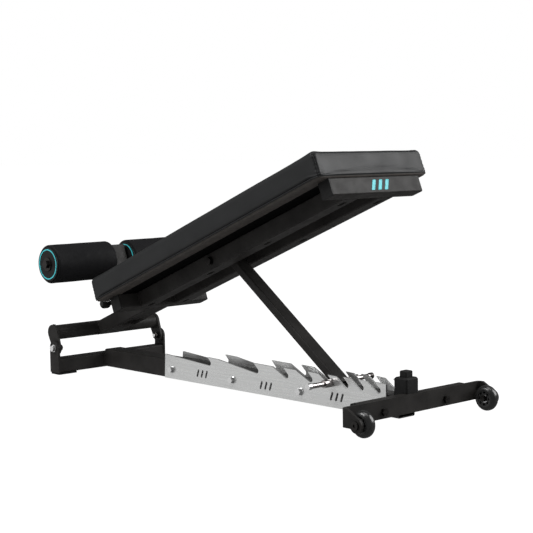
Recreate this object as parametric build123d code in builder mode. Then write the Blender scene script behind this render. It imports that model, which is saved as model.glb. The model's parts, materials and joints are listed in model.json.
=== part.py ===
from build123d import *
import os

# Adjustable weight bench with a toothed ladder, a swinging strut and foam leg rollers.
# Millimetres. +X runs along the bench toward the transport wheels, +Z is up, and the
# origin lies on the floor under the middle of the floor frame.
# Pieces of the folding deck are drawn on the deck plane: local x runs up the slope from
# the rear edge of the pad, local z is square to the pad face, with zero on the pad face.

os.makedirs("parts", exist_ok=True)

# shared sizes
WALL = 2.5
TUBE_CORNER = 3
RUN = 0.06

# floor frame
SPINE_WIDTH = 46
SPINE_BOTTOM = 5
SPINE_TOP = 46
REAR_X = -489
REAR_DEPTH = 32
REAR_BOTTOM = 4
REAR_TOP = 37
REAR_HALF = 150
UPRIGHT_WALL = 5
HINGE_X = -488
HINGE_Z = 60
FRONT_X = 452
FRONT_DEPTH = 16
FRONT_BOTTOM = 17.5
FRONT_TOP = 52
FRONT_HALF = 150
PLATE_FACE = 466
PLATE_WALL = 6
PLATE_HALF = 193

# ladder: centre of the rod in each of the eight seats, and the back end of the tooth before it
SEAT_Z = 53
SEATS = [-91, 59.5, 148.5, 217.5, 273.3, 315, 355, 398.5]
TOOTH_ENDS = [-62, 107, 175, 239, 286, 326, 368, 417]
LADDER_REAR = -244
LADDER_WALL = 4
TOOTH_TOP = 68

# wheels
WHEEL_X = 496
WHEEL_RADIUS = 24.5
WHEEL_Y = 173
WHEEL_WIDTH = 20

# bolts
M8 = 4
M10 = 5

# folding deck
TILT = 21.6
DECK_X = -351
DECK_Z = 225
PAD_LENGTH = 756
PAD_WIDTH = 300
PAD_FOAM = 44
DECK_DEPTH = 52
TUBE_DEPTH = 34
CROSS_HALF = 123.5
RAIL_Y = 49
RAIL_WIDTH = 40
RAIL_START = 54
RAIL_END = 722
SLOT_STEPS = [66, 285, 475, 697]
HINGE_TUBE_S = -188.6
HINGE_TUBE_N = -66.2
HINGE_TUBE_RADIUS = 16.75
NECK_WIDTH = 58

# roller post
POST_S = -82
POST_WIDTH = 38
AXLE_N = 67
AXLE_RADIUS = 10
KNOB_N = -37

# strut
PIVOT_S = 316
PIVOT_N = -68
ROD_X = 273.3
ROD_RADIUS = 5
STRUT_WIDTH = 32
STRUT_DEPTH = 18

deck = Plane(origin=(DECK_X, 0, DECK_Z)).rotated((0, -TILT, 0))
deck_up = Axis((0, 0, 0), deck.z_dir)


def side(y):
    """Upright plane at a given y, facing -Y: local x is X and local y is Z."""
    return Plane.XZ.offset(-y)


def deck_side(y):
    """The same kind of plane in the tilted frame of the deck."""
    return Plane(origin=deck.from_local_coords((0, y, 0)), x_dir=deck.x_dir, z_dir=(0, -1, 0))


def world_xz(s, n):
    """X and Z of a point given along and square to the deck."""
    point = deck.from_local_coords((s, 0, n))
    return point.X, point.Z


def save(builder, name):
    builder.part.label = name
    export_step(builder.part, f"parts/{name}.step")


def tube(start, across, along, width, depth, length, wall=WALL):
    """Straight tube with rounded corners and open ends, grown from the middle of one end."""
    with BuildPart() as piece:
        with BuildSketch(Plane(origin=start, x_dir=across, z_dir=along)):
            RectangleRounded(width, depth, TUBE_CORNER)
            RectangleRounded(width - 2 * wall, depth - 2 * wall, TUBE_CORNER - 2, mode=Mode.SUBTRACT)
        extrude(amount=length)
    return piece.part


TUBE_X, TUBE_Z = world_xz(HINGE_TUBE_S, HINGE_TUBE_N)
PIVOT_X, PIVOT_Z = world_xz(PIVOT_S, PIVOT_N)
AXLE_X, AXLE_Z = world_xz(POST_S, AXLE_N)

# ---------------------------------------------------------------- floor frame

spine_start = REAR_X + REAR_DEPTH / 2
spine_end = FRONT_X - FRONT_DEPTH / 2
spine_length = spine_end - spine_start
spine_height = SPINE_TOP - SPINE_BOTTOM
LADDER_BOLTS = [-220, -18, 186]

with BuildPart() as spine_tube:
    spine_point = (spine_start, 0, (SPINE_BOTTOM + SPINE_TOP) / 2)
    add(tube(spine_point, (0, 1, 0), (1, 0, 0), SPINE_WIDTH, spine_height, spine_length))
    with BuildSketch(side(SPINE_WIDTH / 2)):
        with Locations([(x, 25) for x in LADDER_BOLTS]):
            Circle(M8 + 0.1)
    extrude(amount=SPINE_WIDTH, mode=Mode.SUBTRACT)
save(spine_tube, "spine_tube")

rear_height = REAR_TOP - REAR_BOTTOM

with BuildPart() as rear_crossbar:
    rear_point = (REAR_X, REAR_HALF, (REAR_BOTTOM + REAR_TOP) / 2)
    add(tube(rear_point, (1, 0, 0), (0, -1, 0), REAR_DEPTH, rear_height, 2 * REAR_HALF))
save(rear_crossbar, "rear_crossbar")

for name, y in [("hinge_upright_near", -REAR_HALF), ("hinge_upright_far", REAR_HALF + UPRIGHT_WALL)]:
    with BuildPart() as upright:
        with BuildSketch(side(y)):
            with Locations((HINGE_X, (REAR_BOTTOM + HINGE_Z) / 2)):
                Rectangle(34, HINGE_Z - REAR_BOTTOM)
            with Locations((HINGE_X, HINGE_Z)):
                Circle(17)
                Circle(M8 + RUN, mode=Mode.SUBTRACT)
        extrude(amount=UPRIGHT_WALL)
    save(upright, name)

EAR_INNER = 144
EAR_WALL = 5


def hinge_disc(start, end, radius, hexagon=False):
    """The same turned or hexagonal length on the hinge line at both ends of the crossbar."""
    with BuildPart() as discs:
        for sign in (-1, 1):
            with BuildSketch(side(sign * (start + end) / 2)):
                with Locations((HINGE_X, HINGE_Z)):
                    if hexagon:
                        RegularPolygon(radius, 6)
                    else:
                        Circle(radius)
            extrude(amount=(end - start) / 2, both=True)
    return discs.part


upright_face = REAR_HALF + UPRIGHT_WALL

with BuildPart() as hinge_bolts:
    add(hinge_disc(EAR_INNER - 11, upright_face + 1.6, M8))
    add(hinge_disc(upright_face, upright_face + 1.6, 8.5))
    add(hinge_disc(upright_face + 1.6, upright_face + 7, 7.4, hexagon=True))
save(hinge_bolts, "hinge_bolts")

with BuildPart() as hinge_nuts:
    add(hinge_disc(EAR_INNER - 2.3, EAR_INNER - 0.7, 8.5))
    add(hinge_disc(EAR_INNER - 8.8, EAR_INNER - 2.3, 7.4, hexagon=True))
    add(hinge_disc(EAR_INNER - 9, EAR_INNER, M8), mode=Mode.SUBTRACT)
save(hinge_nuts, "hinge_nuts")

with BuildPart() as rear_foot_pads:
    with BuildSketch(Plane.XY):
        with Locations((HINGE_X, -129), (HINGE_X, 129)):
            RectangleRounded(33, 50, 3)
    extrude(amount=REAR_BOTTOM)
save(rear_foot_pads, "rear_foot_pads")

# ladder plates: a straight lower edge, and a saw-tooth upper edge with a hooked seat per tooth
HOOK_DIRECTION = (-0.743, 0.669)
HOOK_NORMAL = (0.669, 0.743)
SEAT_RADIUS = ROD_RADIUS + 0.5
MARK_CENTRES = [(-115, 27), (87, 25), (289, 27)]


def ladder_outline():
    """Corner points of a plate without the round bottoms of the seats."""
    points = [(LADDER_REAR, SPINE_BOTTOM), (LADDER_REAR + 3, 58)]
    for number, (seat, tooth_end) in enumerate(zip(SEATS, TOOTH_ENDS)):
        top = TOOTH_TOP - 3 if number == 0 else TOOTH_TOP
        lip_x = seat + HOOK_NORMAL[0] * SEAT_RADIUS
        lip_z = SEAT_Z + HOOK_NORMAL[1] * SEAT_RADIUS
        reach = (top - lip_z) / HOOK_DIRECTION[1]
        points.append((seat - 2, SEAT_Z - SEAT_RADIUS))
        points.append((seat, SEAT_Z - SEAT_RADIUS))
        points.append((seat + SEAT_RADIUS, SEAT_Z))
        points.append((lip_x, lip_z))
        points.append((lip_x + HOOK_DIRECTION[0] * reach, top))
        points.append((tooth_end, top - 1))
    points.append((TOOTH_ENDS[-1], SPINE_BOTTOM))
    return points


for name, y in [("ladder_plate_near", -SPINE_WIDTH / 2), ("ladder_plate_far", SPINE_WIDTH / 2 + LADDER_WALL)]:
    with BuildPart() as ladder_plate:
        with BuildSketch(side(y)):
            with BuildLine():
                Polyline(*ladder_outline(), close=True)
            make_face()
            with Locations([(x, SEAT_Z) for x in SEATS]):
                Circle(SEAT_RADIUS, mode=Mode.SUBTRACT)
            with Locations([(x, 25) for x in LADDER_BOLTS]):
                Circle(M8 + 0.1, mode=Mode.SUBTRACT)
            bars = [(x + step, z) for x, z in MARK_CENTRES for step in (-14, 0, 14)]
            with Locations([Location((x, z, 0), (0, 0, 70)) for x, z in bars]):
                SlotOverall(18, 5, mode=Mode.SUBTRACT)
        extrude(amount=LADDER_WALL)
    save(ladder_plate, name)

ladder_outside = SPINE_WIDTH / 2 + LADDER_WALL

with BuildPart() as ladder_bolts:
    with BuildSketch(side(ladder_outside)):
        with Locations([(x, 25) for x in LADDER_BOLTS]):
            Circle(M8)
    extrude(amount=2 * ladder_outside)
    for near_face, depth in [(-ladder_outside, 1.6), (ladder_outside + 1.6, 1.6)]:
        with BuildSketch(side(near_face)):
            with Locations([(x, 25) for x in LADDER_BOLTS]):
                Circle(8)
        extrude(amount=depth)
    for near_face, depth in [(-ladder_outside - 1.6, 5), (ladder_outside + 7.6, 6)]:
        with BuildSketch(side(near_face)):
            with Locations([(x, 25) for x in LADDER_BOLTS]):
                RegularPolygon(7, 6)
        extrude(amount=depth)
save(ladder_bolts, "ladder_bolts")

# front crossbar tube behind the bent carrier plate
front_height = FRONT_TOP - FRONT_BOTTOM
FRONT_BOLT_Y = 87
FRONT_BOLT_Z = 30

with BuildPart() as front_crossbar:
    front_point = (FRONT_X, FRONT_HALF, (FRONT_BOTTOM + FRONT_TOP) / 2)
    add(tube(front_point, (1, 0, 0), (0, -1, 0), FRONT_DEPTH, front_height, 2 * FRONT_HALF))
    with BuildSketch(Plane.YZ.offset(FRONT_X)):
        with Locations((-FRONT_BOLT_Y, FRONT_BOLT_Z), (FRONT_BOLT_Y, FRONT_BOLT_Z)):
            Circle(M8 + 0.1)
    extrude(amount=FRONT_DEPTH / 2, mode=Mode.SUBTRACT)
save(front_crossbar, "front_crossbar")

with BuildPart() as crossbar_plugs:
    for sign in (-1, 1):
        with BuildSketch(side(sign * (FRONT_HALF + 1))):
            with Locations((FRONT_X, (FRONT_BOTTOM + FRONT_TOP) / 2)):
                RectangleRounded(FRONT_DEPTH - 0.6, front_height - 0.6, 2.5)
        extrude(amount=1, both=True)
save(crossbar_plugs, "crossbar_plugs")

cheek_inner = PLATE_HALF - PLATE_WALL
cheek_nose = 14

with BuildPart() as wheel_carrier:
    with BuildSketch(Plane.XY.offset(8)):
        with BuildLine():
            bend = FilletPolyline(
                (WHEEL_X + cheek_nose, -PLATE_HALF),
                (PLATE_FACE - PLATE_WALL, -PLATE_HALF),
                (PLATE_FACE - PLATE_WALL, PLATE_HALF),
                (WHEEL_X + cheek_nose, PLATE_HALF),
                radius=9,
            )
            FilletPolyline(
                (WHEEL_X + cheek_nose, cheek_inner),
                (PLATE_FACE, cheek_inner),
                (PLATE_FACE, -cheek_inner),
                (WHEEL_X + cheek_nose, -cheek_inner),
                radius=3,
            )
            Line((WHEEL_X + cheek_nose, -PLATE_HALF), (WHEEL_X + cheek_nose, -cheek_inner))
            Line((WHEEL_X + cheek_nose, PLATE_HALF), (WHEEL_X + cheek_nose, cheek_inner))
        make_face()
    extrude(amount=FRONT_TOP - 8)
    with BuildSketch(side(PLATE_HALF)):
        with BuildLine():
            Polyline(
                (443, 60),
                (443, FRONT_BOTTOM),
                (WHEEL_X - 13, FRONT_BOTTOM),
                (WHEEL_X - 4, WHEEL_RADIUS - 12),
                (WHEEL_X + 4, WHEEL_RADIUS + 13),
                (PLATE_FACE + 8, FRONT_TOP),
                (PLATE_FACE + 8, 60),
                close=True,
            )
        make_face()
        with Locations((WHEEL_X, WHEEL_RADIUS)):
            Circle(cheek_nose)
    extrude(amount=2 * PLATE_HALF, mode=Mode.INTERSECT)
    with BuildSketch(side(PLATE_HALF)):
        with Locations((WHEEL_X, WHEEL_RADIUS)):
            Circle(M8 + RUN)
    extrude(amount=2 * PLATE_HALF, mode=Mode.SUBTRACT)
    with BuildSketch(Plane.YZ.offset(PLATE_FACE - PLATE_WALL)):
        with Locations((-FRONT_BOLT_Y, FRONT_BOLT_Z), (FRONT_BOLT_Y, FRONT_BOLT_Z)):
            Circle(M8 + 0.1)
    extrude(amount=PLATE_WALL, mode=Mode.SUBTRACT)
save(wheel_carrier, "wheel_carrier")

with BuildPart() as carrier_bolts:
    with BuildSketch(Plane.YZ.offset(FRONT_X)):
        with Locations((-FRONT_BOLT_Y, FRONT_BOLT_Z), (FRONT_BOLT_Y, FRONT_BOLT_Z)):
            Circle(M8)
    extrude(amount=PLATE_FACE - FRONT_X)
    with BuildSketch(Plane.YZ.offset(PLATE_FACE)):
        with Locations((-FRONT_BOLT_Y, FRONT_BOLT_Z), (FRONT_BOLT_Y, FRONT_BOLT_Z)):
            RegularPolygon(7.5, 6)
    extrude(amount=5.5)
save(carrier_bolts, "carrier_bolts")

BUMPER_X = 443.5
BUMPER_HEIGHT = 29

with BuildPart() as bumper_block:
    with BuildSketch(Plane.XY.offset(FRONT_TOP)):
        with Locations((BUMPER_X, 0)):
            RectangleRounded(33, 34, 4)
    extrude(amount=BUMPER_HEIGHT)
    chamfer(bumper_block.faces().sort_by(Axis.Z)[-1].edges(), length=3)
    with BuildSketch(Plane.XY.offset(SPINE_TOP)):
        with Locations((BUMPER_X - 8.1, 0)):
            Rectangle(16, 34)
    extrude(amount=FRONT_TOP - SPINE_TOP)
save(bumper_block, "bumper_block")

with BuildPart() as bumper_button:
    with BuildSketch(Plane.XY.offset(FRONT_TOP + BUMPER_HEIGHT)):
        with Locations((BUMPER_X, 0)):
            RectangleRounded(17, 19, 2)
    extrude(amount=12)
    chamfer(bumper_button.faces().sort_by(Axis.Z)[-1].edges(), length=1.5)
save(bumper_button, "bumper_button")

# ---------------------------------------------------------------- transport wheels

HUB_RADIUS = 14.5
BEARING_RADIUS = 8

for tag, sign in [("near", -1), ("far", 1)]:
    wheel_mid = sign * WHEEL_Y
    half = WHEEL_WIDTH / 2

    with BuildPart() as wheel_tyre:
        with BuildSketch(side(wheel_mid)):
            with Locations((WHEEL_X, WHEEL_RADIUS)):
                Circle(WHEEL_RADIUS)
                Circle(HUB_RADIUS, mode=Mode.SUBTRACT)
        extrude(amount=half, both=True)
        fillet(wheel_tyre.edges().filter_by(GeomType.CIRCLE).group_by(SortBy.RADIUS)[-1], radius=9)
    save(wheel_tyre, f"wheel_tyre_{tag}")

    with BuildPart() as wheel_hub:
        with BuildSketch(side(wheel_mid)):
            with Locations((WHEEL_X, WHEEL_RADIUS)):
                Circle(HUB_RADIUS)
                Circle(BEARING_RADIUS, mode=Mode.SUBTRACT)
        extrude(amount=half - 2, both=True)
        with BuildSketch(side(wheel_mid)):
            with Locations((WHEEL_X, WHEEL_RADIUS)):
                with PolarLocations(11.4, 8):
                    SlotOverall(6, 3.2, rotation=90)
        extrude(amount=half, both=True, mode=Mode.SUBTRACT)
    save(wheel_hub, f"wheel_hub_{tag}")

    with BuildPart() as wheel_bearing:
        with BuildSketch(side(wheel_mid)):
            with Locations((WHEEL_X, WHEEL_RADIUS)):
                Circle(BEARING_RADIUS)
                Circle(M8 + RUN, mode=Mode.SUBTRACT)
        extrude(amount=half - 3, both=True)
    save(wheel_bearing, f"wheel_bearing_{tag}")

with BuildPart() as wheel_axle_bolts:
    for sign in (-1, 1):
        inner = WHEEL_Y - WHEEL_WIDTH / 2 + 2
        turned = [
            (inner - 5, PLATE_HALF, M8),
            (inner - 1, inner + 0.6, 6.2),
            (PLATE_HALF, PLATE_HALF + 3.5, 8),
        ]
        for start, end, radius in turned:
            with BuildSketch(side(sign * (start + end) / 2)):
                with Locations((WHEEL_X, WHEEL_RADIUS)):
                    Circle(radius)
            extrude(amount=(end - start) / 2, both=True)
        with BuildSketch(side(sign * (inner - 3.5))):
            with Locations((WHEEL_X, WHEEL_RADIUS)):
                RegularPolygon(5.9, 6)
        extrude(amount=2.5, both=True)
        with BuildSketch(side(sign * (PLATE_HALF + 3.5))):
            with Locations((WHEEL_X, WHEEL_RADIUS)):
                RegularPolygon(3.4, 6)
        extrude(amount=1.8, both=True, mode=Mode.SUBTRACT)
save(wheel_axle_bolts, "wheel_axle_bolts")

# ---------------------------------------------------------------- folding deck

with BuildPart() as hinge_tube:
    with BuildSketch(side(EAR_INNER)):
        with Locations((TUBE_X, TUBE_Z)):
            Circle(HINGE_TUBE_RADIUS)
            Circle(HINGE_TUBE_RADIUS - WALL, mode=Mode.SUBTRACT)
    extrude(amount=2 * EAR_INNER)
save(hinge_tube, "hinge_tube")

for name, y in [("hinge_ear_near", -EAR_INNER), ("hinge_ear_far", EAR_INNER + EAR_WALL)]:
    with BuildPart() as hinge_ear:
        with BuildSketch(side(y)):
            with Locations((TUBE_X, TUBE_Z)):
                Circle(18.5)
            with Locations((HINGE_X, HINGE_Z)):
                Circle(15)
            make_hull()
            with Locations((HINGE_X, HINGE_Z)):
                Circle(M8 + RUN, mode=Mode.SUBTRACT)
        extrude(amount=EAR_WALL)
    save(hinge_ear, name)

neck_start = -178
neck_end = 22
neck_depth = TUBE_DEPTH - 2
tube_bottom = -DECK_DEPTH - TUBE_DEPTH
SLEEVE_OUTER = 50
SLEEVE_BORE = POST_WIDTH + 1.2
SLEEVE_TOP = -10

with BuildPart() as neck_tube:
    neck_point = deck.from_local_coords((neck_start, 0, tube_bottom + neck_depth / 2))
    neck_length = neck_end - neck_start
    add(tube(neck_point, (0, 1, 0), deck.x_dir, NECK_WIDTH, neck_depth, neck_length, wall=3))
    with BuildSketch(deck.offset(tube_bottom)):
        with Locations((POST_S, 0)):
            Rectangle(SLEEVE_OUTER + 0.4, SLEEVE_OUTER + 0.4)
    extrude(amount=TUBE_DEPTH, mode=Mode.SUBTRACT)
    with BuildSketch(side(NECK_WIDTH)):
        with Locations((TUBE_X, TUBE_Z)):
            Circle(HINGE_TUBE_RADIUS + 0.15)
    extrude(amount=2 * NECK_WIDTH, mode=Mode.SUBTRACT)
save(neck_tube, "neck_tube")

with BuildPart() as post_sleeve:
    sleeve_point = deck.from_local_coords((POST_S, 0, tube_bottom))
    sleeve_wall = (SLEEVE_OUTER - SLEEVE_BORE) / 2
    sleeve_length = SLEEVE_TOP - tube_bottom
    add(tube(sleeve_point, deck.x_dir, deck.z_dir, SLEEVE_OUTER, SLEEVE_OUTER, sleeve_length, sleeve_wall))
    with BuildSketch(deck_side(-SLEEVE_OUTER / 2)):
        with Locations((POST_S, KNOB_N)):
            Circle(9)
    extrude(amount=7)
    with BuildSketch(deck_side(-SLEEVE_BORE / 2 + 1)):
        with Locations((POST_S, KNOB_N)):
            Circle(M10 + RUN)
    extrude(amount=20, mode=Mode.SUBTRACT)
save(post_sleeve, "post_sleeve")

tube_mid = tube_bottom + TUBE_DEPTH / 2
cross_starts = [("rear_cross_tube", 22), ("front_box_tube", RAIL_END)]
for name, start in cross_starts:
    depth = 32 if start == 22 else 30
    with BuildPart() as cross_tube:
        cross_point = deck.from_local_coords((start + depth / 2, CROSS_HALF - 2, tube_mid))
        add(tube(cross_point, deck.x_dir, (0, -1, 0), depth, TUBE_DEPTH, 2 * CROSS_HALF - 4))
    save(cross_tube, name)

with BuildPart() as tube_end_caps:
    for mid, depth in [(38, 32), (RAIL_END + 15, 30)]:
        for y in (-CROSS_HALF + 2, CROSS_HALF):
            with BuildSketch(deck_side(y)):
                with Locations((mid, tube_mid)):
                    RectangleRounded(depth - 0.4, TUBE_DEPTH - 0.4, 2.8)
            extrude(amount=2)
save(tube_end_caps, "tube_end_caps")

rail_length = RAIL_END - RAIL_START

for name, y in [("deck_rail_near", -RAIL_Y), ("deck_rail_far", RAIL_Y)]:
    with BuildPart() as deck_rail:
        rail_point = deck.from_local_coords((RAIL_START, y, tube_mid))
        add(tube(rail_point, (0, 1, 0), deck.x_dir, RAIL_WIDTH, TUBE_DEPTH, rail_length))
        with BuildSketch(deck.offset(tube_bottom)):
            with Locations([(s, y) for s in SLOT_STEPS]):
                SlotOverall(22, 11)
        extrude(amount=WALL, mode=Mode.SUBTRACT)
        with BuildSketch(deck.offset(-DECK_DEPTH - WALL)):
            with Locations([(s, y) for s in SLOT_STEPS]):
                Circle(3.3)
        extrude(amount=WALL, mode=Mode.SUBTRACT)
        with BuildSketch(deck_side(y + RAIL_WIDTH / 2)):
            with Locations((PIVOT_S, PIVOT_N)):
                Circle(M10 + RUN)
        extrude(amount=RAIL_WIDTH, mode=Mode.SUBTRACT)
    save(deck_rail, name)

BOARD_TOP = -PAD_FOAM - 0.4
board_places = [(s, y) for s in SLOT_STEPS for y in (-RAIL_Y, RAIL_Y)]

with BuildPart() as pad_board:
    with BuildSketch(deck.offset(-DECK_DEPTH)):
        with Locations((PAD_LENGTH / 2, 0)):
            RectangleRounded(PAD_LENGTH - 8, PAD_WIDTH - 8, 12)
    extrude(amount=DECK_DEPTH + BOARD_TOP)
    with BuildSketch(deck.offset(-DECK_DEPTH)):
        with Locations(board_places):
            Circle(3.2)
    extrude(amount=5.5, mode=Mode.SUBTRACT)
save(pad_board, "pad_board")

with BuildPart() as pad_bolts:
    with BuildSketch(deck.offset(-DECK_DEPTH - WALL)):
        with Locations(board_places):
            Circle(3)
    extrude(amount=WALL + 5)
    with BuildSketch(deck.offset(-DECK_DEPTH - WALL - 4.5)):
        with Locations(board_places):
            RegularPolygon(5.8, 6)
    extrude(amount=4.5)
save(pad_bolts, "pad_bolts")

with BuildPart() as pad_cushion:
    with BuildSketch(deck.offset(-PAD_FOAM)):
        with Locations((PAD_LENGTH / 2, 0)):
            RectangleRounded(PAD_LENGTH, PAD_WIDTH, 14)
    extrude(amount=PAD_FOAM)
    fillet(pad_cushion.faces().sort_by(deck_up)[-1].edges(), radius=8)
save(pad_cushion, "pad_cushion")

# ---------------------------------------------------------------- strut

rail_outside = RAIL_Y + RAIL_WIDTH / 2
rail_inside = RAIL_Y - RAIL_WIDTH / 2

with BuildPart() as strut_pivot_bolt:
    with BuildSketch(deck_side(rail_outside + 1.5)):
        with Locations((PIVOT_S, PIVOT_N)):
            Circle(M10)
    extrude(amount=2 * rail_outside + 3)
    for face in (-rail_outside, rail_outside + 1.5):
        with BuildSketch(deck_side(face)):
            with Locations((PIVOT_S, PIVOT_N)):
                Circle(9.5)
        extrude(amount=1.5)
    for face in (-rail_outside - 1.5, rail_outside + 7.5):
        with BuildSketch(deck_side(face)):
            with Locations((PIVOT_S, PIVOT_N)):
                RegularPolygon(8.6, 6)
        extrude(amount=6)
save(strut_pivot_bolt, "strut_pivot_bolt")

with BuildPart() as pivot_spacers:
    for face in (-STRUT_WIDTH / 2 - 0.5, rail_inside - 0.3):
        with BuildSketch(deck_side(face)):
            with Locations((PIVOT_S, PIVOT_N)):
                Circle(8)
                Circle(M10 + RUN, mode=Mode.SUBTRACT)
        extrude(amount=rail_inside - STRUT_WIDTH / 2 - 0.8)
save(pivot_spacers, "pivot_spacers")

strut_top = Vector(PIVOT_X, PIVOT_Z)
strut_foot = Vector(ROD_X, SEAT_Z)
strut_run = strut_foot - strut_top
strut_angle = Vector(1, 0).get_signed_angle(strut_run, Vector(0, 0, 1))
strut_mid = (strut_top + strut_foot) / 2
strut_place = Location((strut_mid.X, strut_mid.Y, 0), (0, 0, strut_angle))

with BuildPart() as strut_tube:
    down = Vector(strut_run.X, 0, strut_run.Y).normalized()
    strut_point = Vector(PIVOT_X, 0, PIVOT_Z) - down * STRUT_DEPTH
    strut_length = strut_run.length + 2 * STRUT_DEPTH
    add(tube(strut_point, (0, 1, 0), down, STRUT_WIDTH, STRUT_DEPTH, strut_length))
    with BuildSketch(side(0)):
        with Locations(strut_place):
            SlotCenterToCenter(strut_run.length, STRUT_DEPTH)
    extrude(amount=STRUT_WIDTH / 2, both=True, mode=Mode.INTERSECT)
    with BuildSketch(side(0)):
        with Locations((PIVOT_X, PIVOT_Z), (ROD_X, SEAT_Z)):
            Circle(M10 + RUN)
    extrude(amount=STRUT_WIDTH, both=True, mode=Mode.SUBTRACT)
    with BuildSketch(Plane.XY.offset(SPINE_TOP - 19)):
        with Locations((ROD_X, 0)):
            Rectangle(60, 60)
    extrude(amount=20, mode=Mode.SUBTRACT)
save(strut_tube, "strut_tube")

ROD_HALF = 89

with BuildPart() as strut_rod:
    with BuildSketch(side(ROD_HALF)):
        with Locations((ROD_X, SEAT_Z)):
            Circle(ROD_RADIUS)
    extrude(amount=2 * ROD_HALF)
save(strut_rod, "strut_rod")

with BuildPart() as rod_collars:
    for y in (-29.5, 47.5):
        with BuildSketch(side(y)):
            with Locations((ROD_X, SEAT_Z)):
                Circle(8)
                Circle(ROD_RADIUS + 0.1, mode=Mode.SUBTRACT)
        extrude(amount=18)
save(rod_collars, "rod_collars")

for tag, sign in [("near", -1), ("far", 1)]:
    with BuildPart() as rod_end_cap:
        with BuildSketch(side(sign * (ROD_HALF - 2.5))):
            with Locations((ROD_X, SEAT_Z)):
                Circle(6.3)
        extrude(amount=4, both=True)
        with BuildSketch(side(sign * (ROD_HALF - 9))):
            with Locations((ROD_X, SEAT_Z)):
                Circle(ROD_RADIUS + 0.1)
        extrude(amount=9, both=True, mode=Mode.SUBTRACT)
    save(rod_end_cap, f"rod_end_cap_{tag}")

# ---------------------------------------------------------------- roller post and rollers

POST_TOP = 93
POST_BOTTOM = -82

with BuildPart() as roller_post:
    post_point = deck.from_local_coords((POST_S, 0, POST_BOTTOM))
    add(tube(post_point, deck.x_dir, deck.z_dir, POST_WIDTH, POST_WIDTH, POST_TOP - POST_BOTTOM))
    with BuildSketch(deck_side(POST_WIDTH)):
        with Locations((POST_S, AXLE_N)):
            Circle(AXLE_RADIUS + RUN)
    extrude(amount=2 * POST_WIDTH, mode=Mode.SUBTRACT)
save(roller_post, "roller_post")

with BuildPart() as post_cap:
    with BuildSketch(deck.offset(POST_TOP)):
        with Locations((POST_S, 0)):
            RectangleRounded(POST_WIDTH, POST_WIDTH, 3)
    extrude(amount=4)
    chamfer(post_cap.faces().sort_by(deck_up)[-1].edges(), length=1.5)
save(post_cap, "post_cap")

with BuildPart() as lock_knob_stem:
    with BuildSketch(deck_side(-POST_WIDTH / 2 - 0.4)):
        with Locations((POST_S, KNOB_N)):
            Circle(M10)
    extrude(amount=34)
save(lock_knob_stem, "lock_knob_stem")

with BuildPart() as lock_knob:
    with BuildSketch(deck_side(-POST_WIDTH / 2 - 32)):
        with Locations((POST_S, KNOB_N)):
            Circle(11)
    extrude(amount=22)
    fillet(lock_knob.edges().filter_by(GeomType.CIRCLE), radius=7)
    with BuildSketch(deck_side(-POST_WIDTH / 2)):
        with Locations((POST_S, KNOB_N)):
            Circle(M10 + 0.02)
    extrude(amount=34.6, mode=Mode.SUBTRACT)
save(lock_knob, "lock_knob")

ROLLER_RADIUS = 43
ROLLER_INNER = 25
ROLLER_OUTER = 189.2
CAP_WALL = 3
CORE_RADIUS = 15.5
AXLE_HALF = 190

with BuildPart() as roller_axle:
    with BuildSketch(side(AXLE_HALF)):
        with Locations((AXLE_X, AXLE_Z)):
            Circle(AXLE_RADIUS)
    extrude(amount=2 * AXLE_HALF)
save(roller_axle, "roller_axle")

with BuildPart() as axle_end_bolts:
    for sign in (-1, 1):
        with BuildSketch(side(sign * (AXLE_HALF + 1))):
            with Locations((AXLE_X, AXLE_Z)):
                Circle(15)
        extrude(amount=1, both=True)
        with BuildSketch(side(sign * (AXLE_HALF + 5.2))):
            with Locations((AXLE_X, AXLE_Z)):
                RegularPolygon(9.3, 6)
        extrude(amount=3.2, both=True)
save(axle_end_bolts, "axle_end_bolts")

for tag, sign in [("near", -1), ("far", 1)]:
    roller_mid = sign * (ROLLER_INNER + ROLLER_OUTER) / 2
    roller_half = (ROLLER_OUTER - ROLLER_INNER) / 2

    with BuildPart() as roller_core:
        with BuildSketch(side(roller_mid)):
            with Locations((AXLE_X, AXLE_Z)):
                Circle(CORE_RADIUS)
                Circle(AXLE_RADIUS + RUN, mode=Mode.SUBTRACT)
        extrude(amount=roller_half - CAP_WALL, both=True)
    save(roller_core, f"roller_core_{tag}")

    with BuildPart() as roller_foam:
        with BuildSketch(side(roller_mid)):
            with Locations((AXLE_X, AXLE_Z)):
                Circle(ROLLER_RADIUS)
                Circle(CORE_RADIUS + 0.3, mode=Mode.SUBTRACT)
        extrude(amount=roller_half - CAP_WALL - 0.2, both=True)
        fillet(roller_foam.edges().filter_by(GeomType.CIRCLE).group_by(SortBy.RADIUS)[-1], radius=3)
    save(roller_foam, f"roller_foam_{tag}")

    with BuildPart() as roller_caps:
        for end in (ROLLER_INNER, ROLLER_OUTER - CAP_WALL):
            with BuildSketch(side(sign * (end + CAP_WALL / 2))):
                with Locations((AXLE_X, AXLE_Z)):
                    Circle(38)
                    Circle(AXLE_RADIUS + RUN, mode=Mode.SUBTRACT)
            extrude(amount=CAP_WALL / 2, both=True)
    save(roller_caps, f"roller_caps_{tag}")

    with BuildPart() as roller_rings:
        for face in (ROLLER_INNER - 0.4, ROLLER_OUTER + 0.4):
            with BuildSketch(side(sign * face)):
                with Locations((AXLE_X, AXLE_Z)):
                    Circle(34)
                    Circle(31.5, mode=Mode.SUBTRACT)
            extrude(amount=0.4, both=True)
    save(roller_rings, f"roller_rings_{tag}")
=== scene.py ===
import json
import math

import bmesh
import bpy
from mathutils import Matrix, Vector, noise
from mathutils.bvhtree import BVHTree


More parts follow.
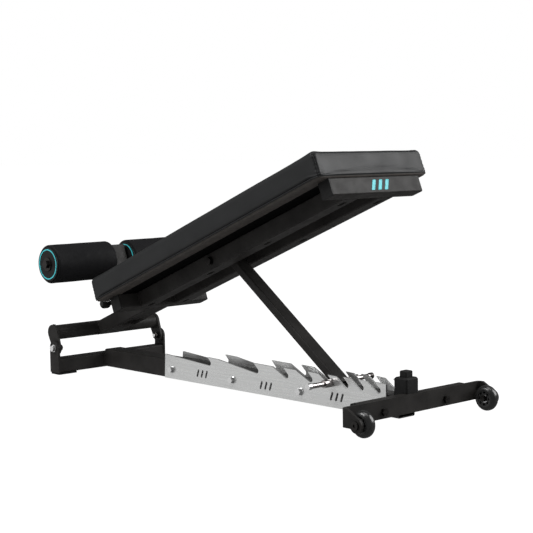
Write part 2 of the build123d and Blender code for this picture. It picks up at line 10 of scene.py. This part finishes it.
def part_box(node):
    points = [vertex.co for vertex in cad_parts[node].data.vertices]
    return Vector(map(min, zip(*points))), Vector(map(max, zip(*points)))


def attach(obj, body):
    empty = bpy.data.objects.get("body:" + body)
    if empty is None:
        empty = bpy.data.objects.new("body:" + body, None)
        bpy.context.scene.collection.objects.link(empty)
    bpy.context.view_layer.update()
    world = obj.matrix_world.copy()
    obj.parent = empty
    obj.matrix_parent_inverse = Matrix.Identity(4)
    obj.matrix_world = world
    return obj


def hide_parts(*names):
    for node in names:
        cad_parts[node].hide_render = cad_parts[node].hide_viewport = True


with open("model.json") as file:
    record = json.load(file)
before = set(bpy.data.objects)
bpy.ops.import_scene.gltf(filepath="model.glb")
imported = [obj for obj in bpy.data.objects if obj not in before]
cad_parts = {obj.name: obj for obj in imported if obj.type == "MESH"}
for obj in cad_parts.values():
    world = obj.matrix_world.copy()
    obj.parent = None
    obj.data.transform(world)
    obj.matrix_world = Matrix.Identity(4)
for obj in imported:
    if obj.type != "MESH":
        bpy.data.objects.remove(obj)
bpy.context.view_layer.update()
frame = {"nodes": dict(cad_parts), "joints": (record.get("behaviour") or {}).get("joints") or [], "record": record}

# Adjustable weight bench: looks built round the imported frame. Metres, row frame.
# Deck pieces are laid out on the deck: s runs up the slope from the rear edge of the pad,
# y is across, and h is the height square to the pad face, zero on that face.

MM = 0.001
nodes = frame["nodes"]
joints = {joint["name"]: joint for joint in frame["joints"]}

# ---------------------------------------------------------------- deck frame, from the CAD

deck_up = Vector(joints["post_slide"]["axis"]).normalized()
deck_along = Vector((deck_up.z, 0, -deck_up.x))
pad_corners = [vertex.co for vertex in nodes["pad_cushion"].data.vertices]
PAD_START = min(corner.dot(deck_along) for corner in pad_corners)
PAD_LENGTH = max(corner.dot(deck_along) for corner in pad_corners) - PAD_START
PAD_FACE = max(corner.dot(deck_up) for corner in pad_corners)
PAD_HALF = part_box("pad_cushion")[1].y


def on_deck(s, y, h):
    """Row-frame point of a place on the deck."""
    return deck_along * (PAD_START + s) + deck_up * (PAD_FACE + h) + Vector((0, y, 0))


# ---------------------------------------------------------------- shader helpers


def principled(name, colour, roughness, metallic=0.0, specular=0.5):
    material = bpy.data.materials.new(name)
    material.use_nodes = True
    shader = material.node_tree.nodes["Principled BSDF"]
    shader.inputs["Base Color"].default_value = (*colour, 1)
    shader.inputs["Roughness"].default_value = roughness
    shader.inputs["Metallic"].default_value = metallic
    shader.inputs["Specular IOR Level"].default_value = specular
    return material, shader


def place(material, stretch=(1, 1, 1)):
    """Object coordinates, stretched along each axis."""
    tree = material.node_tree
    coordinates = tree.nodes.new("ShaderNodeTexCoord")
    mapping = tree.nodes.new("ShaderNodeMapping")
    mapping.inputs["Scale"].default_value = stretch
    tree.links.new(coordinates.outputs["Object"], mapping.inputs["Vector"])
    return mapping.outputs["Vector"]


def cloud(material, scale, detail=3.0, stretch=(1, 1, 1)):
    texture = material.node_tree.nodes.new("ShaderNodeTexNoise")
    texture.inputs["Scale"].default_value = scale
    texture.inputs["Detail"].default_value = detail
    material.node_tree.links.new(place(material, stretch), texture.inputs["Vector"])
    return texture.outputs["Fac"]


def cells(material, scale, feature="DISTANCE_TO_EDGE"):
    texture = material.node_tree.nodes.new("ShaderNodeTexVoronoi")
    texture.feature = feature
    texture.inputs["Scale"].default_value = scale
    material.node_tree.links.new(place(material), texture.inputs["Vector"])
    return texture.outputs["Distance"]


def paint(material, shader, value, dark, light, low=0.3, high=0.7):
    """Base colour from dark to light as value goes from low to high."""
    ramp = material.node_tree.nodes.new("ShaderNodeValToRGB")
    ramp.color_ramp.elements[0].position = low
    ramp.color_ramp.elements[0].color = (*dark, 1)
    ramp.color_ramp.elements[1].position = high
    ramp.color_ramp.elements[1].color = (*light, 1)
    material.node_tree.links.new(value, ramp.inputs["Fac"])
    material.node_tree.links.new(ramp.outputs["Color"], shader.inputs["Base Color"])


def roughen(material, shader, value, low, high):
    spread = material.node_tree.nodes.new("ShaderNodeMapRange")
    spread.inputs["From Min"].default_value = 0.3
    spread.inputs["From Max"].default_value = 0.7
    spread.inputs["To Min"].default_value = low
    spread.inputs["To Max"].default_value = high
    material.node_tree.links.new(value, spread.inputs["Value"])
    material.node_tree.links.new(spread.outputs["Result"], shader.inputs["Roughness"])


def emboss(material, shader, value, strength, depth):
    """Adds a bump layer on top of any bump the shader already has."""
    bump = material.node_tree.nodes.new("ShaderNodeBump")
    bump.inputs["Strength"].default_value = strength
    bump.inputs["Distance"].default_value = depth
    links = material.node_tree.links
    if shader.inputs["Normal"].is_linked:
        links.new(shader.inputs["Normal"].links[0].from_socket, bump.inputs["Normal"])
    links.new(value, bump.inputs["Height"])
    links.new(bump.outputs["Normal"], shader.inputs["Normal"])


def darker(colour, share):
    return tuple(channel * share for channel in colour)


# ---------------------------------------------------------------- materials


def powder_coat():
    """Satin black powder coat with its fine orange-peel surface."""
    black = (0.0165, 0.0155, 0.0148)
    material, shader = principled("powder_coat", black, 0.45, specular=0.13)
    paint(material, shader, cloud(material, 26), darker(black, 0.8), darker(black, 1.25))
    roughen(material, shader, cloud(material, 60), 0.40, 0.52)
    emboss(material, shader, cloud(material, 1100, 2), 0.25, 0.12 * MM)
    return material


def brushed_plate():
    """Bright zinc-plated sheet, brushed along its length."""
    zinc = (0.73, 0.735, 0.73)
    material, shader = principled("brushed_plate", zinc, 0.3, metallic=0.85)
    streaks = cloud(material, 1.0, 4, stretch=(14, 900, 900))
    paint(material, shader, streaks, darker(zinc, 0.95), darker(zinc, 1.04))
    roughen(material, shader, cloud(material, 1.0, 3, stretch=(9, 300, 300)), 0.24, 0.34)
    emboss(material, shader, streaks, 0.05, 0.02 * MM)
    return material


def plated_steel(name, colour, roughness):
    """Plated fastener or rod with faint handling marks."""
    material, shader = principled(name, colour, roughness, metallic=1.0)
    marks = cloud(material, 240, 5)
    paint(material, shader, marks, darker(colour, 0.82), darker(colour, 1.06))
    roughen(material, shader, marks, roughness * 0.8, roughness * 1.25)
    emboss(material, shader, cloud(material, 900, 2), 0.08, 0.05 * MM)
    return material


def vinyl():
    """Black upholstery vinyl: fine leather grain over slow changes of sheen."""
    black = (0.0125, 0.013, 0.0135)
    material, shader = principled("vinyl", black, 0.42, specular=0.2)
    paint(material, shader, cloud(material, 14), darker(black, 0.85), darker(black, 1.15))
    roughen(material, shader, cloud(material, 22), 0.38, 0.50)
    emboss(material, shader, cells(material, 820), 0.30, 0.14 * MM)
    emboss(material, shader, cloud(material, 1500, 2), 0.2, 0.06 * MM)
    return material


def lining():
    """Black non-woven cloth under the pad."""
    black = (0.0016, 0.0016, 0.0016)
    material, shader = principled("lining", black, 0.9, specular=0.04)
    fibres = cloud(material, 700, 6, stretch=(1, 0.25, 1))
    paint(material, shader, fibres, darker(black, 0.6), darker(black, 1.6))
    emboss(material, shader, fibres, 0.5, 0.2 * MM)
    return material


def foam_rubber():
    """Closed-cell foam with an open matt skin."""
    black = (0.0042, 0.0042, 0.0048)
    material, shader = principled("foam_rubber", black, 0.72, specular=0.14)
    paint(material, shader, cloud(material, 380, 4), darker(black, 0.75), darker(black, 1.3))
    roughen(material, shader, cloud(material, 40), 0.64, 0.80)
    emboss(material, shader, cells(material, 1300, "F1"), 0.35, 0.15 * MM)
    return material


def moulded(name, colour, roughness, specular=0.4):
    """Moulded plastic or rubber with a fine spark-eroded grain."""
    material, shader = principled(name, colour, roughness, specular=specular)
    paint(material, shader, cloud(material, 90), darker(colour, 0.85), darker(colour, 1.2))
    roughen(material, shader, cloud(material, 160), roughness * 0.88, roughness * 1.12)
    emboss(material, shader, cloud(material, 1400, 2), 0.2, 0.07 * MM)
    return material


COAT = powder_coat()
PLATE = brushed_plate()
ZINC = plated_steel("zinc_bolt", (0.9, 0.9, 0.9), 0.2)
DARK_BOLT = plated_steel("dark_bolt", (0.055, 0.052, 0.05), 0.38)
CHROME = plated_steel("chrome_rod", (0.40, 0.375, 0.37), 0.2)
BEARING = plated_steel("bearing_steel", (0.66, 0.66, 0.67), 0.22)
VINYL = vinyl()
LINING = lining()
# Lighter, brownish copy of the black vinyl for the wrap under the pad: painted light, standing in for the front
# light that falls on the pad's underside.
PAINTED_LIGHT_VINYL = moulded("painted_light_vinyl", (0.034, 0.030, 0.027), 0.6, 0.2)
FOAM = foam_rubber()
PLASTIC = moulded("black_plastic", (0.009, 0.009, 0.009), 0.42, 0.14)
KNOB = moulded("knob_plastic", (0.004, 0.004, 0.004), 0.2, 0.3)
CYAN = moulded("cyan_ring", (0.045, 0.42, 0.46), 0.4)
RUBBER = moulded("rubber", (0.007, 0.007, 0.007), 0.7, 0.18)
URETHANE = moulded("urethane", (0.016, 0.016, 0.016), 0.24, 0.5)
HUB = moulded("hub_plastic", (0.02, 0.02, 0.02), 0.36)

SLOT_MATERIALS = {
    "frame_paint": COAT,
    "ladder_steel": PLATE,
    "zinc_bolts": ZINC,
    "dark_bolts": DARK_BOLT,
    "chrome_rod": CHROME,
    "vinyl": VINYL,
    "board": LINING,
    "foam": FOAM,
    "black_plastic": PLASTIC,
    "knob_plastic": KNOB,
    "ring_cyan": CYAN,
    "rubber": RUBBER,
    "urethane": URETHANE,
    "hub_plastic": HUB,
    "bearing_steel": BEARING,
}

for entry in frame["record"]["subparts"]:
    for holder in nodes[entry["node"]].material_slots:
        holder.material = SLOT_MATERIALS[entry["material_slot"]]

# ---------------------------------------------------------------- mesh helpers


def new_piece(name, points, faces, material, body):
    mesh = bpy.data.meshes.new(name)
    mesh.from_pydata([tuple(point) for point in points], [], faces)
    mesh.validate()
    mesh.shade_smooth()
    piece = bpy.data.objects.new(name, mesh)
    bpy.context.scene.collection.objects.link(piece)
    mesh.materials.append(material)
    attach(piece, body)
    return piece


def loft(rings, close_rings=True, cap_ends=False):
    """Faces between rings of equal length; each ring is closed on itself."""
    count = len(rings[0])
    points = [point for ring in rings for point in ring]
    faces = []
    steps = len(rings) if close_rings else len(rings) - 1
    for ring in range(steps):
        base, after = ring * count, (ring + 1) % len(rings) * count
        for k in range(count):
            n = (k + 1) % count
            faces.append((base + k, base + n, after + n, after + k))
    if cap_ends:
        faces.append(tuple(range(count))[::-1])
        last = (len(rings) - 1) * count
        faces.append(tuple(range(last, last + count)))
    return points, faces


def spaced(length, edge, fine, coarse):
    """Stations from 0 to length: fine steps within edge of both ends, coarse ones between."""
    near = max(2, round(edge / fine))
    middle = max(1, round((length - 2 * edge) / coarse))
    stations = [edge * k / near for k in range(near)]
    stations += [edge + (length - 2 * edge) * k / middle for k in range(middle)]
    stations += [length - edge + edge * k / near for k in range(near + 1)]
    return stations


def smooth_step(value, low, high):
    share = min(1.0, max(0.0, (value - low) / (high - low)))
    return share * share * (3 - 2 * share)


# ---------------------------------------------------------------- pad: simulated form

PAD_DEPTH = 46 * MM
CAP_MOVE = 3 * MM
START_INSET = -1.5 * MM
FORM_RADIUS = 7 * MM
VOXEL = 6 * MM
CLOTH_FRAMES = 20


def box_mesh(name, low, high, radius):
    """A closed box with rounded edges, as the start of the cushion."""
    shape = bmesh.new()
    bmesh.ops.create_cube(shape, size=1)
    for vertex in shape.verts:
        vertex.co = Vector([low[i] if vertex.co[i] < 0 else high[i] for i in range(3)])
    bmesh.ops.bevel(shape, geom=shape.edges[:], offset=radius, segments=4, profile=0.5, affect="EDGES")
    mesh = bpy.data.meshes.new(name)
    shape.to_mesh(mesh)
    shape.free()
    piece = bpy.data.objects.new(name, mesh)
    bpy.context.scene.collection.objects.link(piece)
    return piece


def final_mesh(piece):
    depsgraph = bpy.context.evaluated_depsgraph_get()
    return bpy.data.meshes.new_from_object(piece.evaluated_get(depsgraph))


def swell(piece):
    """Blows the form up as cloth over foam, held where it is glued to the board."""
    remesh = piece.modifiers.new("remesh", "REMESH")
    remesh.mode = "VOXEL"
    remesh.voxel_size = VOXEL
    piece.data = final_mesh(piece)
    piece.modifiers.clear()
    rest = [vertex.co.copy() for vertex in piece.data.vertices]
    floor = min(point.z for point in rest)
    held = piece.vertex_groups.new(name="glued")
    held.add([k for k, point in enumerate(rest) if point.z < floor + 3 * MM], 1.0, "REPLACE")
    cloth = piece.modifiers.new("cloth", "CLOTH")
    cloth.settings.quality = 6
    cloth.settings.mass = 0.25
    cloth.settings.tension_stiffness = 22
    cloth.settings.compression_stiffness = 22
    cloth.settings.bending_stiffness = 4
    cloth.settings.use_pressure = True
    cloth.settings.uniform_pressure_force = 4
    cloth.settings.vertex_group_mass = "glued"
    cloth.settings.effector_weights.gravity = 0
    cloth.point_cache.frame_start = 1
    cloth.point_cache.frame_end = CLOTH_FRAMES
    for frame_number in range(1, CLOTH_FRAMES + 1):
        bpy.context.scene.frame_set(frame_number)
    swollen = final_mesh(piece)
    bpy.context.scene.frame_set(1)
    piece.modifiers.clear()
    for vertex, start in zip(swollen.vertices, rest):
        move = vertex.co - start
        if move.length > CAP_MOVE:
            vertex.co = start + move.normalized() * CAP_MOVE
    piece.data = swollen
    return piece


form = box_mesh(
    "pad_form",
    (START_INSET, START_INSET - PAD_HALF, -PAD_DEPTH),
    (PAD_LENGTH - START_INSET, PAD_HALF - START_INSET, -START_INSET),
    FORM_RADIUS,
)
swell(form)
form_tree = BVHTree.FromPolygons(
    [vertex.co.copy() for vertex in form.data.vertices],
    [tuple(face.vertices) for face in form.data.polygons],
)

# ---------------------------------------------------------------- pad: sewn vinyl cover

EDGE_RADIUS = 6 * MM
SEAM_REACH = 12 * MM
END_DROP = 5.5 * MM


def lower_edge(s):
    """Depth of the cover's lower edge: it dips at both ends, where it wraps the board."""
    reach = min(s, PAD_LENGTH - s)
    return PAD_DEPTH + END_DROP * (1 - smooth_step(reach, 4 * MM, 34 * MM))


def corner_seams(s, y, h):
    """How far a place near an upright corner seam is pulled in, with its small gathers."""
    from_end = min(s, PAD_LENGTH - s)
    from_side = PAD_HALF - abs(y)
    distance = math.hypot(from_end, from_side) - EDGE_RADIUS * 0.42
    if distance > SEAM_REACH:
        return 0.0
    groove = 1.5 * MM * math.exp(-((distance / (1.6 * MM)) ** 2))
    fade = (1 - smooth_step(distance, 2 * MM, SEAM_REACH)) * smooth_step(-h, 3 * MM, 12 * MM)
    gathers = 0.3 * MM * fade * math.sin(h / MM * 0.95 + 2.2 * noise.noise(Vector((s, y, h)) * 90))
    return groove * smooth_step(-h, 2 * MM, 7 * MM) + gathers


def cover_point(s, y, h):
    """Place on the cover for a place on the plain box: rounded, blown up and seamed."""
    centre = Vector((PAD_LENGTH / 2, 0, -PAD_DEPTH / 2))
    half = Vector((PAD_LENGTH / 2, PAD_HALF, PAD_DEPTH / 2)) - Vector((1, 1, 1)) * EDGE_RADIUS
    offset = Vector((s, y, h)) - centre
    core = Vector([max(-half[i], min(half[i], offset[i])) for i in range(3)])
    outward = (offset - core).normalized()
    seed = centre + core + outward * EDGE_RADIUS
    start = seed + outward * 12 * MM
    hit, _, _, _ = form_tree.ray_cast(start, -outward, 30 * MM)
    point = hit if hit else seed
    point = seed.lerp(point, 0.85)
    slack = 0.5 * MM * noise.noise(Vector((s * 7, y * 9, h * 10)))
    point = point + outward * (slack - corner_seams(s, y, h))
    point.z *= lower_edge(point.x) / PAD_DEPTH
    return point


def cover_grid():
    """Quad grid over all six sides of the pad's box, denser near its edges."""
    stations = [
        spaced(PAD_LENGTH, 24 * MM, 1.5 * MM, 6 * MM),
        [y - PAD_HALF for y in spaced(2 * PAD_HALF, 24 * MM, 1.5 * MM, 6 * MM)],
        [-PAD_DEPTH + h for h in spaced(PAD_DEPTH, 12 * MM, 1.2 * MM, 2 * MM)],
    ]
    points, index, faces = [], {}, []

    def corner(key):
        if key not in index:
            index[key] = len(points)
            points.append(cover_point(*[stations[axis][key[axis]] for axis in range(3)]))
        return index[key]

    last = [len(line) - 1 for line in stations]
    for axis in range(3):
        a, b = [(1, 2), (2, 0), (0, 1)][axis]
        for end in (0, last[axis]):
            for i in range(last[a]):
                for j in range(last[b]):
                    quad = []
                    for di, dj in ((0, 0), (1, 0), (1, 1), (0, 1)):
                        key = [0, 0, 0]
                        key[axis], key[a], key[b] = end, i + di, j + dj
                        quad.append(corner(tuple(key)))
                    faces.append(tuple(quad if end else quad[::-1]))
    return points, faces


cover_points, cover_faces = cover_grid()
cover = new_piece(
    "pad_cover", [on_deck(*point) for point in cover_points], cover_faces, VINYL, "deck"
)
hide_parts("pad_cushion")
bpy.data.objects.remove(form)


# ---------------------------------------------------------------- pad: piping and wrapped underside

PIPING_RADIUS = 1.5 * MM
PIPING_LEVEL = -47.4 * MM
PIPING_SIDES = 14
OUTLINE_CORNER = 11 * MM


def piping(name, side):
    """Sewn piping along one long side, dipping a little as it goes under at both corners."""
    rings = []
    for s in spaced(PAD_LENGTH - 6 * MM, 30 * MM, 2 * MM, 5 * MM):
        s += 3 * MM
        reach = min(s, PAD_LENGTH - s)
        dip = 1.6 * MM * (1 - smooth_step(reach, 3 * MM, 22 * MM))
        tuck = 2.2 * MM * (1 - smooth_step(reach, 3 * MM, 9 * MM))
        wander = 0.25 * MM * noise.noise(Vector((s * 30, side, 0)))
        thick = PIPING_RADIUS * (0.55 + 0.45 * smooth_step(reach, 3 * MM, 7 * MM))
        middle = (side * (PAD_HALF - 1.2 * MM - tuck) + wander, PIPING_LEVEL - dip)
        ring = []
        for k in range(PIPING_SIDES):
            turn = side * math.tau * k / PIPING_SIDES
            y = middle[0] + thick * math.cos(turn)
            ring.append(on_deck(s, y, middle[1] + thick * math.sin(turn)))
        rings.append(ring)
    points, faces = loft(rings, close_rings=False, cap_ends=True)
    return new_piece(name, points, faces, VINYL, "deck")


piping("pad_piping_near", -1)
piping("pad_piping_far", 1)


def outline_point(turn, inset):
    """Place on the pad's outline, moved inward by inset, for a turn from 0 to 1."""
    corner = OUTLINE_CORNER
    sizes = (PAD_LENGTH / 2 - corner, PAD_HALF - corner)
    straight = [2 * sizes[1], 2 * sizes[0], 2 * sizes[1], 2 * sizes[0]]
    bend = math.pi * corner / 2
    travel = turn * (sum(straight) + 4 * bend)
    for number in range(4):
        facing = math.pi / 2 * number
        ahead = Vector((-math.sin(facing), math.cos(facing)))
        out = Vector((math.cos(facing), math.sin(facing)))
        extents = (sizes[0], sizes[1]) if number % 2 == 0 else (sizes[1], sizes[0])
        start = out * extents[0] - ahead * extents[1]
        if travel <= straight[number]:
            return start + ahead * travel + out * (corner - inset)
        travel -= straight[number]
        if travel <= bend:
            angle = facing + travel / corner
            swing = Vector((math.cos(angle), math.sin(angle)))
            return start + ahead * straight[number] + swing * (corner - inset)
        travel -= bend
    return Vector((sizes[0] + corner - inset, -sizes[1]))


WRAP_PROFILE = [
    (3.9, -45.6), (1.9, -46.2), (1.7, -48.5), (2.3, -50.6), (3.6, -52.0), (6, -52.7),
    (12, -52.8), (20, -52.75), (28, -52.8), (34, -52.75), (36.6, -52.6), (37, -52.3),
    (36.6, -52.05), (20, -52.03), (5, -52.03), (3.95, -50.5),
]


WRAP_STEPS = 520
ROUND_REACH = 10.5 * MM
RIPPLE = 0.35 * MM
RIPPLE_LEVEL = -52.5


def wrap():
    """Vinyl drawn round the edge of the board and flat under it, square past its round corners."""
    rings = []
    for step in range(WRAP_STEPS):
        ring = []
        for inset, level in WRAP_PROFILE:
            flat = outline_point(step / WRAP_STEPS, min(inset * MM, ROUND_REACH))
            deeper = inset * MM - ROUND_REACH
            if deeper > 0:
                limit = (PAD_LENGTH / 2 - ROUND_REACH - deeper, PAD_HALF - ROUND_REACH - deeper)
                flat = Vector([max(-limit[i], min(limit[i], flat[i])) for i in range(2)])
            wave = noise.noise(Vector((flat.x * 45, flat.y * 45, 3)))
            ripple = RIPPLE * wave if level < RIPPLE_LEVEL else 0
            ring.append(on_deck(PAD_LENGTH / 2 + flat.x, flat.y, level * MM + ripple))
        rings.append(ring)
    points, faces = loft(rings)
    # The wrap takes the lighter vinyl copy, which is painted light on the underside.
    return new_piece("pad_wrap", points, faces, PAINTED_LIGHT_VINYL, "deck")


wrap()

# ---------------------------------------------------------------- foam rollers

FOAM_BORE = 15.9 * MM
FOAM_ROUNDING = 3.4 * MM
FOAM_PROUD = 0.25 * MM
FOAM_DENT = 0.35 * MM
FOAM_STEPS = 112


def foam_sleeve(name, node, body):
    """Foam tube with softened ends, slightly uneven like cut foam."""
    low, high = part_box(node)
    middle = Vector(((low.x + high.x) / 2, 0, (low.z + high.z) / 2))
    radius = (high.x - low.x) / 2
    inner = radius - 9 * MM
    stations = spaced(high.y - low.y, 9 * MM, 0.9 * MM, 4 * MM)
    profile = []
    for station in stations:
        reach = min(station, high.y - low.y - station)
        rounding = max(0.0, FOAM_ROUNDING - reach)
        drop = FOAM_ROUNDING - math.sqrt(max(0.0, FOAM_ROUNDING**2 - rounding**2))
        profile.append((low.y + station, radius + FOAM_PROUD - drop))
    profile += [(high.y, inner), (high.y, FOAM_BORE), (low.y, FOAM_BORE), (low.y, inner)]
    rings = []
    for step in range(FOAM_STEPS):
        turn = -math.tau * step / FOAM_STEPS
        spoke = Vector((math.cos(turn), 0, math.sin(turn)))
        ring = []
        for y, size in profile:
            dent = FOAM_DENT * noise.noise(Vector((spoke.x * 1.6, y * 28, spoke.z * 1.6)))
            ring.append(middle + Vector((0, y, 0)) + spoke * (size + dent))
        rings.append(ring)
    points, faces = loft(rings)
    piece = new_piece(name, points, faces, FOAM, body)
    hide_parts(node)


foam_sleeve("foam_sleeve_near", "roller_foam_near", "roller_near")
foam_sleeve("foam_sleeve_far", "roller_foam_far", "roller_far")

# ---------------------------------------------------------------- three slanted bars on the front box

BOX_FACE = 752 * MM


def mark_bar(name, centre):
    """Thin raised bar with rounded corners, leaning to the right."""
    corners = [(-9.5, -79.5), (-0.5, -79.5), (9.5, -59), (0.5, -59)]
    outline = []
    for k, corner in enumerate(corners):
        here = Vector(corner)
        before = (Vector(corners[k - 1]) - here).normalized()
        after = (Vector(corners[(k + 1) % 4]) - here).normalized()
        for share in (0.0, 0.25, 0.5, 0.75, 1.0):
            bow = (1 - share) ** 2 * (here + before * 1.6) + share**2 * (here + after * 1.6)
            outline.append(bow + 2 * share * (1 - share) * here)
    rings = []
    for inset, rise in ((0, -0.2), (0, 0.18), (0.35, 0.34), (2.2, 0.36)):
        ring = []
        for point in outline:
            pulled = point - (point - Vector((0, -69.25))).normalized() * inset
            ring.append(on_deck(BOX_FACE + rise * MM, (centre + pulled.x) * MM, pulled.y * MM))
        rings.append(ring)
    points, faces = loft(rings, close_rings=False, cap_ends=True)
    new_piece(name, points, faces, CYAN, "deck")


for number, centre in enumerate((-9, 9, 27)):
    mark_bar(f"front_mark_{number + 1}", centre)

# ---------------------------------------------------------------- weld beads


def bead(path, radius):
    """One run of weld as a rippled rope along a path of points."""
    line = [path[0]]
    for start, end in zip(path, path[1:]):
        count = max(1, round((end - start).length / (1.1 * MM)))
        line += [start.lerp(end, (k + 1) / count) for k in range(count)]
    rings = []
    for k, point in enumerate(line):
        ahead = (line[min(k + 1, len(line) - 1)] - line[max(k - 1, 0)]).normalized()
        across = ahead.orthogonal().normalized()
        other = ahead.cross(across)
        size = radius * (0.86 + 0.16 * math.sin(k * 1.25) + 0.15 * noise.noise(point * 160))
        rings.append([
            point + (across * math.cos(turn) + other * math.sin(turn)) * size
            for turn in [math.tau * j / 9 for j in range(9)]
        ])
    return loft(rings, close_rings=False, cap_ends=True)


def weld(name, paths, body, radius=2.4 * MM):
    points, faces = [], []
    for path in paths:
        more_points, more_faces = bead(path, radius)
        faces += [tuple(index + len(points) for index in face) for face in more_faces]
        points += more_points
    new_piece(name, points, faces, COAT, body)


def deck_line(*places):
    return [on_deck(s * MM, y * MM, h * MM) for s, y, h in places]


# half widths and rail sides in millimetres, as deck_line takes them
NECK_HALF = 29
SPINE_HALF = 23
RAIL_SIDES = (-69, -29, 29, 69)

rail_welds = []
for s in (54, 722):
    for y in RAIL_SIDES:
        rail_welds.append(deck_line((s, y, -54), (s, y, -84)))
weld("rail_welds", rail_welds, "deck")
sleeve_low = [(-107, -25, -86), (-57, -25, -86), (-57, 25, -86), (-107, 25, -86), (-107, -25, -86)]
sleeve_high = [(s, y, -54) for s, y, _ in sleeve_low]
neck_welds = [deck_line(*sleeve_low), deck_line(*sleeve_high)]
for y in (-NECK_HALF, NECK_HALF):
    neck_welds.append(deck_line((22, y, -56), (22, y, -84)))
weld("neck_welds", neck_welds, "deck")

tube_low, tube_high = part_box("hinge_tube")
tube_middle = (tube_low + tube_high) / 2
tube_radius = (tube_high.x - tube_low.x) / 2


def ring_path(y, start, end, radius):
    """Arc round the hinge tube between two turns, in degrees from the slope of the deck."""
    path = []
    for step in range(25):
        turn = math.radians(start + (end - start) * step / 24)
        spoke = deck_along * math.cos(turn) + deck_up * math.sin(turn)
        path.append(Vector((tube_middle.x, y, tube_middle.z)) + spoke * radius)
    return path


tube_welds = []
for side in (-1, 1):
    tube_welds.append(ring_path(side * (tube_high.y - 0.5 * MM), 0, 360, tube_radius + 0.6 * MM))
for side in (-1, 1):
    tube_welds.append(ring_path(side * NECK_HALF * MM, -78, 42, tube_radius + 0.5 * MM))
weld("hinge_tube_welds", tube_welds, "deck")

bar_low, bar_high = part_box("rear_crossbar")
floor_welds = []
for side in (-1, 1):
    y = side * SPINE_HALF * MM
    floor_welds.append([Vector((bar_high.x, y, 8 * MM)), Vector((bar_high.x, y, bar_high.z - 1 * MM))])
    y = side * (bar_high.y - 0.3 * MM)
    start = Vector((bar_low.x + 2 * MM, y, bar_high.z))
    end = Vector((bar_high.x - 2 * MM, y, bar_high.z))
    floor_welds.append([start, end])
front_low, front_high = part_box("front_crossbar")
for side in (-1, 1):
    y = side * SPINE_HALF * MM
    floor_welds.append([Vector((front_low.x, y, front_low.z + 2 * MM)), Vector((front_low.x, y, 45 * MM))])
weld("floor_welds", floor_welds, "floor_frame")

# ---------------------------------------------------------------- camera, floor and light

CAMERA_AZIMUTH = math.radians(47.27)
CAMERA_ELEVATION = math.radians(4.87)
CAMERA_ROLL = math.radians(-0.8)
CAMERA_DISTANCE = 2.82
CAMERA_AIM = Vector((0.0288, 0.0333, 0.2627))
CAMERA_LENS = 91.09


def make_camera():
    back = Vector((
        math.sin(CAMERA_AZIMUTH) * math.cos(CAMERA_ELEVATION),
        -math.cos(CAMERA_AZIMUTH) * math.cos(CAMERA_ELEVATION),
        math.sin(CAMERA_ELEVATION),
    ))
    right = Vector((math.cos(CAMERA_AZIMUTH), math.sin(CAMERA_AZIMUTH), 0))
    up = back.cross(right)
    turn = Matrix((right, up, back)).transposed() @ Matrix.Rotation(CAMERA_ROLL, 3, "Z")
    data = bpy.data.cameras.new("camera")
    data.lens = CAMERA_LENS
    data.sensor_width = 36
    data.clip_end = 100
    camera = bpy.data.objects.new("camera", data)
    camera.matrix_world = Matrix.Translation(CAMERA_AIM + back * CAMERA_DISTANCE) @ turn.to_4x4()
    bpy.context.scene.collection.objects.link(camera)
    bpy.context.scene.camera = camera


def make_floor():
    shape = bmesh.new()
    bmesh.ops.create_circle(shape, cap_ends=True, segments=96, radius=60)
    mesh = bpy.data.meshes.new("floor")
    shape.to_mesh(mesh)
    shape.free()
    floor = bpy.data.objects.new("floor", mesh)
    bpy.context.scene.collection.objects.link(floor)
    material, shader = principled("floor_white", (0.08, 0.08, 0.08), 0.9, specular=0.1)
    shader.inputs["Emission Color"].default_value = (1, 1, 1, 1)
    shader.inputs["Emission Strength"].default_value = 1.0
    mesh.materials.append(material)
    floor.visible_glossy = False


def soft_box(name, towards, distance, width, power):
    """Square lamp standing off in one direction, aimed at the middle of the object."""
    aim = Vector((0, 0, 0.25))
    data = bpy.data.lights.new(name, "AREA")
    data.shape = "SQUARE"
    data.size = width
    data.energy = power
    light = bpy.data.objects.new(name, data)
    light.location = aim + Vector(towards).normalized() * distance
    light.rotation_euler = (aim - light.location).to_track_quat("-Z", "Y").to_euler()
    bpy.context.scene.collection.objects.link(light)


def make_light():
    """Dim surroundings with a white backdrop, two high lamps, a low one and one overhead."""
    world = bpy.data.worlds.new("studio")
    world.use_nodes = True
    tree = world.node_tree
    background = tree.nodes["Background"]
    rays = tree.nodes.new("ShaderNodeLightPath")
    level = tree.nodes.new("ShaderNodeMapRange")
    level.inputs["To Min"].default_value = 0.12
    level.inputs["To Max"].default_value = 1.0
    tree.links.new(rays.outputs["Is Camera Ray"], level.inputs["Value"])
    tree.links.new(level.outputs["Result"], background.inputs["Strength"])
    background.inputs["Color"].default_value = (1, 1, 1, 1)
    bpy.context.scene.world = world
    soft_box("lamp_right", (0.66, 0.55, 0.46), 3.0, 2.0, 90)
    soft_box("lamp_left", (-0.3, -0.75, 0.8), 3.2, 1.8, 85)
    soft_box("lamp_low", (-0.73, -0.68, 0.06), 3.6, 3.2, 17)
    soft_box("lamp_top", (0.1, -0.1, 1.0), 3.0, 2.0, 40)


bpy.context.scene.view_settings.view_transform = "Standard"
make_camera()
make_floor()
make_light()
